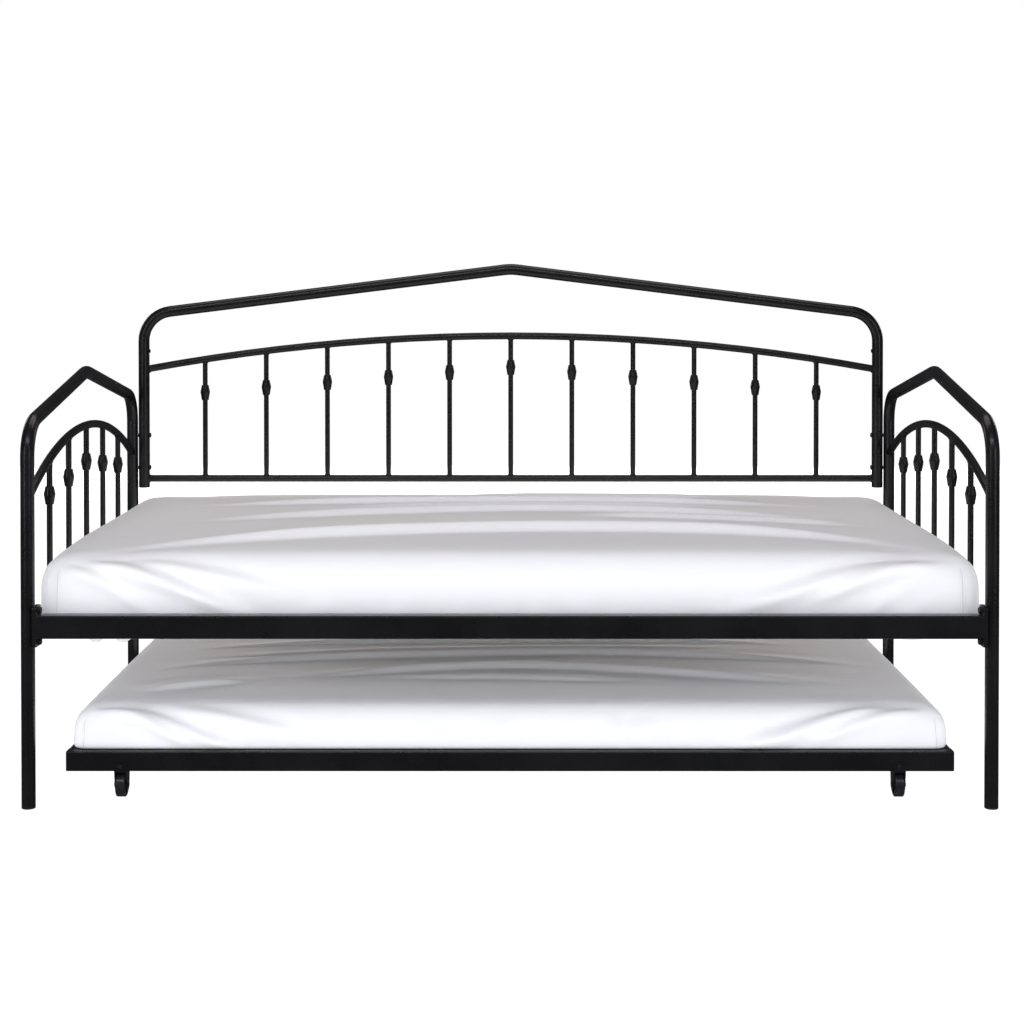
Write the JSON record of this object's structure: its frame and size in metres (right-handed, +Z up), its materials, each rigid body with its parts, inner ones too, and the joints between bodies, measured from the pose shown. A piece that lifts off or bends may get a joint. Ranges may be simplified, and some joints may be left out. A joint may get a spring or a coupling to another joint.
{
  "type": "trundle bed",
  "caption": "Black metal daybed with gabled arms and back, collared spindles and slats, a mattress in a white sheet, and a matching low trundle bed that rolls out from under it.",
  "frame": {"origin": "on the floor under the middle of the bed", "axes": "+X along the bed, -Y towards the open front where the trundle rolls out, +Z up"},
  "size_m": [1.968, 1.05, 1.1099],
  "materials": {
    "black_powder_coat": "satin",
    "black_moulded_plastic": "matte",
    "caster_wheel_plastic": "satin",
    "black_fasteners": "satin",
    "zinc_steel": "satin",
    "mattress_ticking": "matte",
    "white_cotton_sheet": "matte"
  },
  "bodies": {
    "bed_frame": {"back_side_rail": "black_powder_coat", "back_slat_ledge": "black_powder_coat", "bed_slat_screws": "black_fasteners", "bed_slats": "black_powder_coat", "front_side_rail": "black_powder_coat", "front_slat_ledge": "black_powder_coat", "left_arm_arch_rail": "black_powder_coat", "left_arm_collars": "black_powder_coat", "left_arm_frame": "black_powder_coat", "left_arm_lower_rail": "black_powder_coat", "left_arm_spindles": "black_powder_coat", "panel_arch_rail": "black_powder_coat", "panel_bolts": "black_fasteners", "panel_collars": "black_powder_coat", "panel_end_caps": "black_moulded_plastic", "panel_left_upright": "black_powder_coat", "panel_lower_rail": "black_powder_coat", "panel_right_upright": "black_powder_coat", "panel_rivet_nuts": "zinc_steel", "panel_seam_screws": "black_fasteners", "panel_seam_sleeves": "zinc_steel", "panel_spacers": "black_moulded_plastic", "panel_spindles": "black_powder_coat", "panel_top_tube": "black_powder_coat", "post_foot_caps": "black_moulded_plastic", "post_plates": "black_powder_coat", "rail_bolts": "black_fasteners", "rail_end_plates": "black_powder_coat", "rail_rivet_nuts": "zinc_steel", "rail_washers": "black_fasteners", "right_arm_arch_rail": "black_powder_coat", "right_arm_collars": "black_powder_coat", "right_arm_frame": "black_powder_coat", "right_arm_lower_rail": "black_powder_coat", "right_arm_spindles": "black_powder_coat"},
    "main_mattress": {"main_mattress": "mattress_ticking", "main_fitted_sheet": "white_cotton_sheet"},
    "trundle": {"caster_axle_bolts": "black_fasteners", "caster_axle_nuts": "black_fasteners", "caster_bolt_nuts": "black_fasteners", "caster_bolts": "black_fasteners", "caster_bushes": "zinc_steel", "caster_forks": "black_powder_coat", "trundle_back_ledge": "black_powder_coat", "trundle_back_rail": "black_powder_coat", "trundle_corner_bolts": "black_fasteners", "trundle_corner_brackets": "black_powder_coat", "trundle_end_caps": "black_moulded_plastic", "trundle_fitted_sheet": "white_cotton_sheet", "trundle_front_ledge": "black_powder_coat", "trundle_front_rail": "black_powder_coat", "trundle_left_rail": "black_powder_coat", "trundle_mattress": "mattress_ticking", "trundle_right_rail": "black_powder_coat", "trundle_slat_screws": "black_fasteners", "trundle_slats": "black_powder_coat"},
    "wheel_back_left": {"wheel_back_left": "caster_wheel_plastic"},
    "wheel_back_right": {"wheel_back_right": "caster_wheel_plastic"},
    "wheel_front_left": {"wheel_front_left": "caster_wheel_plastic"},
    "wheel_front_right": {"wheel_front_right": "caster_wheel_plastic"}
  },
  "joints": [
    {"name": "trundle_slide", "type": "slide", "parent": "bed_frame", "child": "trundle", "axis": [0, -1, 0], "range_m": [0, 1.1]},
    {"name": "main_mattress_lift", "type": "slide", "parent": "bed_frame", "child": "main_mattress", "axis": [0, 0, 1], "range_m": [0, 0.55]},
    {"name": "wheel_back_left_spin", "type": "hinge", "parent": "trundle", "child": "wheel_back_left", "pos_m": [-0.8, 0.499, 0.025], "axis": [1, 0, 0], "continuous": true},
    {"name": "wheel_back_right_spin", "type": "hinge", "parent": "trundle", "child": "wheel_back_right", "pos_m": [0.8, 0.499, 0.025], "axis": [1, 0, 0], "continuous": true},
    {"name": "wheel_front_left_spin", "type": "hinge", "parent": "trundle", "child": "wheel_front_left", "pos_m": [-0.8, -0.419, 0.025], "axis": [1, 0, 0], "continuous": true},
    {"name": "wheel_front_right_spin", "type": "hinge", "parent": "trundle", "child": "wheel_front_right", "pos_m": [0.8, -0.419, 0.025], "axis": [1, 0, 0], "continuous": true}
  ],
  "couplings": [
    {"joint": "wheel_back_left_spin", "follows": "trundle_slide", "rad_per_m": 40},
    {"joint": "wheel_back_right_spin", "follows": "trundle_slide", "rad_per_m": 40},
    {"joint": "wheel_front_left_spin", "follows": "trundle_slide", "rad_per_m": 40},
    {"joint": "wheel_front_right_spin", "follows": "trundle_slide", "rad_per_m": 40}
  ]
}
